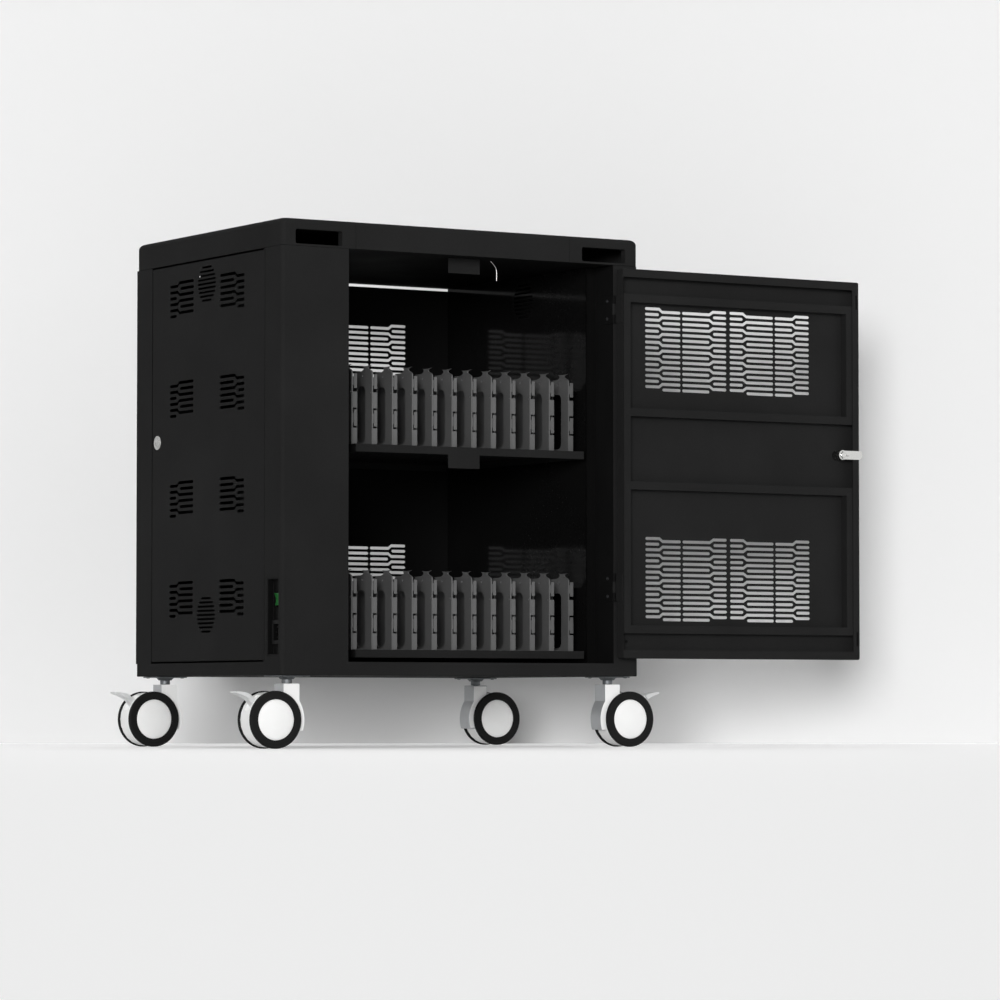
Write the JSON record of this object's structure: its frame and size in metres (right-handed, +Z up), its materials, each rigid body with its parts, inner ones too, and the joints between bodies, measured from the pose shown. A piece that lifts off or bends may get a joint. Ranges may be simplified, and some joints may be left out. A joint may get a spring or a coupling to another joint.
{
  "type": "laptop charging cart",
  "caption": "Wheeled steel cabinet with a vented hinged door, divider shelves for charging laptops, a lockable side power bay and twin-wheel braked casters.",
  "frame": {"origin": "on the floor, at the middle of the box that the cart fills with its front door swung open as pictured", "axes": "+X to the cart's right along the front, +Y from the front to the rear, +Z up"},
  "size_m": [1.2846, 0.5852, 0.917],
  "materials": {
    "coat": "matte black powder coat with a fine texture",
    "inner_coat": "matte black powder coat, inside faces",
    "rail_coat": "black painted slide rail",
    "lock_steel": "polished lock cylinder and cam",
    "divider_plastic": "moulded grey plastic",
    "inlet_plastic": "black moulded plastic",
    "switch_plastic": "translucent green lit rocker",
    "caster_metal": "silver-grey caster body",
    "hub_plastic": "pale domed hub caps",
    "tyre_rubber": "black rubber tread",
    "lever_plastic": "pale grey brake lever"
  },
  "bodies": {
    "cabinet": {"base_pan": "coat", "top_cover": "coat", "ceiling_panel": "inner_coat", "column_front_left": "coat", "column_front_right": "coat", "column_rear_left": "coat", "column_rear_right": "coat", "rear_panel": "coat", "inner_wall_left": "inner_coat", "inner_wall_right": "inner_coat", "side_panel_right": "coat", "side_hinge_lower": "inner_coat", "side_hinge_upper": "inner_coat", "frame_hinge_leaf_lower": "inner_coat", "frame_hinge_leaf_upper": "inner_coat", "slide_rail_lower_left": "rail_coat", "slide_rail_lower_right": "rail_coat", "slide_rail_upper_left": "rail_coat", "slide_rail_upper_right": "rail_coat", "power_inlet": "inlet_plastic", "power_strip": "inlet_plastic", "caster_plate_front_left": "caster_metal", "caster_plate_rear_left": "caster_metal", "caster_plate_front_right": "caster_metal", "caster_plate_rear_right": "caster_metal"},
    "front_door_body": {"front_door": "coat", "door_stiffener": "coat", "door_hinge_leaf_lower": "inner_coat", "door_hinge_leaf_upper": "inner_coat"},
    "front_lock_body": {"front_lock": "lock_steel"},
    "side_door_body": {"side_door": "coat"},
    "side_lock_body": {"side_lock": "lock_steel"},
    "rocker_body": {"rocker_switch": "switch_plastic"},
    "shelf_lower_body": {"shelf_lower": "inner_coat", "divider_rack_lower": "divider_plastic"},
    "shelf_upper_body": {"shelf_upper": "inner_coat", "divider_rack_upper": "divider_plastic"},
    "fork_front_left": {"caster_fork_front_left": "caster_metal"},
    "wheels_front_left": {"caster_hubs_front_left": "hub_plastic", "caster_tyre_front_left_near": "tyre_rubber", "caster_tyre_front_left_far": "tyre_rubber"},
    "brake_front_left": {"brake_lever_front_left": "lever_plastic"},
    "fork_rear_left": {"caster_fork_rear_left": "caster_metal"},
    "wheels_rear_left": {"caster_hubs_rear_left": "hub_plastic", "caster_tyre_rear_left_near": "tyre_rubber", "caster_tyre_rear_left_far": "tyre_rubber"},
    "brake_rear_left": {"brake_lever_rear_left": "lever_plastic"},
    "fork_front_right": {"caster_fork_front_right": "caster_metal"},
    "wheels_front_right": {"caster_hubs_front_right": "hub_plastic", "caster_tyre_front_right_near": "tyre_rubber", "caster_tyre_front_right_far": "tyre_rubber"},
    "brake_front_right": {"brake_lever_front_right": "lever_plastic"},
    "fork_rear_right": {"caster_fork_rear_right": "caster_metal"},
    "wheels_rear_right": {"caster_hubs_rear_right": "hub_plastic", "caster_tyre_rear_right_near": "tyre_rubber", "caster_tyre_rear_right_far": "tyre_rubber"}
  },
  "joints": [
    {"name": "front_door_hinge", "type": "hinge", "parent": "cabinet", "child": "front_door_body", "pos_m": [0.10425, -0.264, 0.51], "axis": [0, 0, 1], "range_deg": [-180, 0]},
    {"name": "front_lock_turn", "type": "hinge", "parent": "front_door_body", "child": "front_lock_body", "pos_m": [0.59325, -0.264, 0.5385], "axis": [0, -1, 0], "range_deg": [0, 90]},
    {"name": "side_door_hinge", "type": "hinge", "parent": "cabinet", "child": "side_door_body", "pos_m": [-0.57025, -0.1914, 0.51], "axis": [0, 0, 1], "range_deg": [0, 105]},
    {"name": "side_lock_turn", "type": "hinge", "parent": "side_door_body", "child": "side_lock_body", "pos_m": [-0.57525, 0.2056, 0.5496], "axis": [1, 0, 0], "range_deg": [0, 90]},
    {"name": "rocker_tilt", "type": "hinge", "parent": "cabinet", "child": "rocker_body", "pos_m": [-0.56125, -0.2309, 0.258], "axis": [0, 1, 0], "range_deg": [-12, 0]},
    {"name": "shelf_lower_slide", "type": "slide", "parent": "cabinet", "child": "shelf_lower_body", "axis": [0, -1, 0], "range_m": [0, 0.3]},
    {"name": "shelf_upper_slide", "type": "slide", "parent": "cabinet", "child": "shelf_upper_body", "axis": [0, -1, 0], "range_m": [0, 0.3]},
    {"name": "swivel_front_left", "type": "hinge", "parent": "cabinet", "child": "fork_front_left", "pos_m": [-0.53825, -0.2144, 0.11], "axis": [0, 0, 1], "continuous": true},
    {"name": "roll_front_left", "type": "hinge", "parent": "fork_front_left", "child": "wheels_front_left", "pos_m": [-0.57225, -0.2144, 0.05], "axis": [0, -1, 0], "continuous": true},
    {"name": "brake_press_front_left", "type": "hinge", "parent": "fork_front_left", "child": "brake_front_left", "pos_m": [-0.60225, -0.2144, 0.076], "axis": [0, -1, 0], "range_deg": [0, 10]},
    {"name": "swivel_rear_left", "type": "hinge", "parent": "cabinet", "child": "fork_rear_left", "pos_m": [-0.53825, 0.2466, 0.11], "axis": [0, 0, 1], "continuous": true},
    {"name": "roll_rear_left", "type": "hinge", "parent": "fork_rear_left", "child": "wheels_rear_left", "pos_m": [-0.57225, 0.2466, 0.05], "axis": [0, -1, 0], "continuous": true},
    {"name": "brake_press_rear_left", "type": "hinge", "parent": "fork_rear_left", "child": "brake_rear_left", "pos_m": [-0.60225, 0.2466, 0.076], "axis": [0, -1, 0], "range_deg": [0, 10]},
    {"name": "swivel_front_right", "type": "hinge", "parent": "cabinet", "child": "fork_front_right", "pos_m": [0.12175, -0.2144, 0.11], "axis": [0, 0, 1], "continuous": true},
    {"name": "roll_front_right", "type": "hinge", "parent": "fork_front_right", "child": "wheels_front_right", "pos_m": [0.15575, -0.2144, 0.05], "axis": [0, 1, 0], "continuous": true},
    {"name": "brake_press_front_right", "type": "hinge", "parent": "fork_front_right", "child": "brake_front_right", "pos_m": [0.18575, -0.2144, 0.076], "axis": [0, 1, 0], "range_deg": [0, 10]},
    {"name": "swivel_rear_right", "type": "hinge", "parent": "cabinet", "child": "fork_rear_right", "pos_m": [0.12175, 0.2466, 0.11], "axis": [0, 0, 1], "continuous": true},
    {"name": "roll_rear_right", "type": "hinge", "parent": "fork_rear_right", "child": "wheels_rear_right", "pos_m": [0.15575, 0.2466, 0.05], "axis": [0, 1, 0], "continuous": true}
  ]
}
